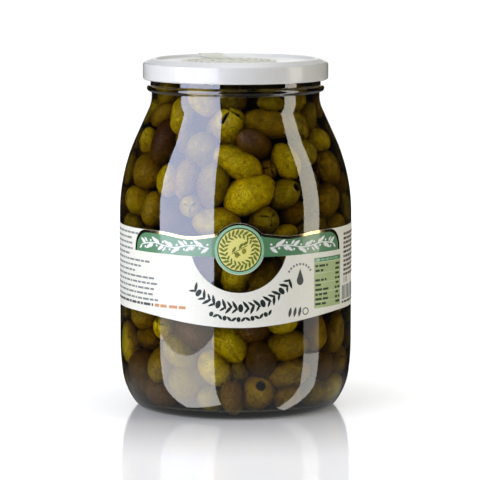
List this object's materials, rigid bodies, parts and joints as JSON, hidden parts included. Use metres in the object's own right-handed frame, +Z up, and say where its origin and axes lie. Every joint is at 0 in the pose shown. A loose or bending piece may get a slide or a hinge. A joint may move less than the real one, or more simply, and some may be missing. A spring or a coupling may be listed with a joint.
{
  "type": "jar of olives",
  "caption": "Round clear glass jar with sloping shoulders, filled with pitted olives in oil, a wrap-round paper label with a half-moon window, and a white steel twist lid with a paper seal.",
  "frame": {"origin": "the middle of the jar's foot, on the surface it stands on", "axes": "+Z up along the jar's axis; the middle of the label faces -Y; +X is to the right seen from the front"},
  "size_m": [0.1072, 0.1071, 0.1609],
  "materials": {
    "glass": "clear soda-lime glass, smooth and glossy",
    "olives": "olive skins wetted by oil, yellow-green to brown and purple",
    "label_paper": "coated label paper with printed fields of green, yellow and black",
    "enamel": "white enamelled tinplate, glossy",
    "seal_paper": "pale yellow-green uncoated paper"
  },
  "bodies": {
    "root": {"jar": "glass", "olives": "olives", "label": "label_paper", "lid": "enamel", "lid_seal": "seal_paper"}
  },
  "joints": []
}
